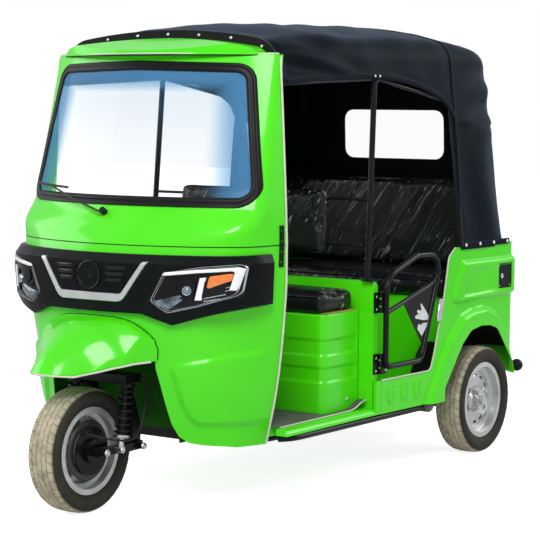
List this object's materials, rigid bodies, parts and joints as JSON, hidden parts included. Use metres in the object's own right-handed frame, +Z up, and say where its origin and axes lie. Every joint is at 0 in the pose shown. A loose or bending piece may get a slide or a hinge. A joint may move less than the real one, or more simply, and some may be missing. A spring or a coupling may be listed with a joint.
{
  "type": "passenger tricycle",
  "caption": "Three-wheeled passenger cab with a steered front wheel, pressed cowl and windshield, driver's bench, rear bench behind tubular side doors, and a vinyl canopy.",
  "frame": {"origin": "centre of the rectangle of ground that the vehicle covers", "axes": "+Z up, -Y the direction of travel, +X the vehicle's left"},
  "size_m": [1.3172, 2.7959, 1.8718],
  "materials": {
    "green_paint": "glossy lime green paint",
    "black_steel": "semi-gloss black enamel",
    "black_plastic": "satin black moulded plastic",
    "bright_trim": "satin bright plating",
    "lamp": "black housing with white and orange lenses",
    "tail_red": "red lens",
    "glass": "blue-tinted glass",
    "hose": "grey braided hose",
    "seal": "matt black rubber",
    "canopy_vinyl": "coated black canvas, soft sheen",
    "seat_vinyl": "black vinyl under clear film",
    "tyre": "black rubber with sand dust on the tread",
    "rim_silver": "silver lacquer",
    "engine_metal": "grey casting",
    "muffler_steel": "dull steel",
    "plate_white": "blank white enamel"
  },
  "bodies": {
    "body": {"cowl_lower": "green_paint", "cowl_upper": "green_paint", "windshield_glass": "glass", "windshield_seal": "seal", "wiper": "black_steel", "header": "green_paint", "canopy_trim": "black_steel", "fascia_band": "black_plastic", "grille_trim": "bright_trim", "headlamps": "lamp", "cowl_brackets": "black_steel", "front_fender": "green_paint", "wheel_well": "green_paint", "chassis_frame": "black_steel", "rear_axle": "black_steel", "engine_block": "engine_metal", "muffler": "muffler_steel", "floor_pan": "green_paint", "bulkhead": "green_paint", "seat_box": "green_paint", "driver_cushion": "seat_vinyl", "driver_backrest": "seat_vinyl", "upper_frame": "black_steel", "rear_panel": "green_paint", "number_plate": "plate_white", "wheel_liners": "black_steel", "rear_seat_base": "green_paint", "rear_cushion": "seat_vinyl", "rear_backrest": "seat_vinyl", "hinge_leaves": "black_steel", "canopy_roof": "canopy_vinyl", "canopy_rear": "canopy_vinyl", "rear_window": "glass", "tail_lamps": "tail_red", "rear_bumper": "black_steel", "side_panel_left": "green_paint", "side_panel_right": "green_paint"},
    "steering": {"fork": "black_steel", "front_arms": "black_steel", "front_shocks": "black_steel", "brake_hose": "hose", "handlebar": "black_steel"},
    "front_wheel": {"front_tyre": "tyre", "front_rim": "rim_silver"},
    "rear_wheel_left": {"rear_tyre_left": "tyre", "rear_rim_left": "rim_silver"},
    "rear_wheel_right": {"rear_tyre_right": "tyre", "rear_rim_right": "rim_silver"},
    "door_left": {"door_left": "black_steel"},
    "door_right": {"door_right": "black_steel"},
    "filler_lid": {"filler_lid": "black_plastic"},
    "engine_door": {"engine_door": "green_paint"}
  },
  "joints": [
    {"name": "steering_turn", "type": "hinge", "parent": "body", "child": "steering", "pos_m": [0, -1.037, 0.49], "axis": [0, 0.342, 0.9397], "range_deg": [-35, 35]},
    {"name": "front_wheel_roll", "type": "hinge", "parent": "steering", "child": "front_wheel", "pos_m": [0, -1.162, 0.236], "axis": [1, 0, 0], "continuous": true},
    {"name": "rear_left_roll", "type": "hinge", "parent": "body", "child": "rear_wheel_left", "pos_m": [0.575, 0.845, 0.236], "axis": [1, 0, 0], "continuous": true},
    {"name": "rear_right_roll", "type": "hinge", "parent": "body", "child": "rear_wheel_right", "pos_m": [-0.575, 0.845, 0.236], "axis": [1, 0, 0], "continuous": true},
    {"name": "door_left_swing", "type": "hinge", "parent": "body", "child": "door_left", "pos_m": [0.59, 0.028, 0.6], "axis": [0, 0, -1], "range_deg": [0, 100]},
    {"name": "door_right_swing", "type": "hinge", "parent": "body", "child": "door_right", "pos_m": [-0.59, 0.028, 0.6], "axis": [0, 0, 1], "range_deg": [0, 100]},
    {"name": "filler_lid_swing", "type": "hinge", "parent": "body", "child": "filler_lid", "pos_m": [0.64323, 0.95, 0.832], "axis": [-0.0311, -0.9995, 0], "range_deg": [0, 110]},
    {"name": "engine_door_swing", "type": "hinge", "parent": "body", "child": "engine_door", "pos_m": [0, 1.1483, 0.766], "axis": [1, 0, 0], "range_deg": [0, 80]}
  ]
}
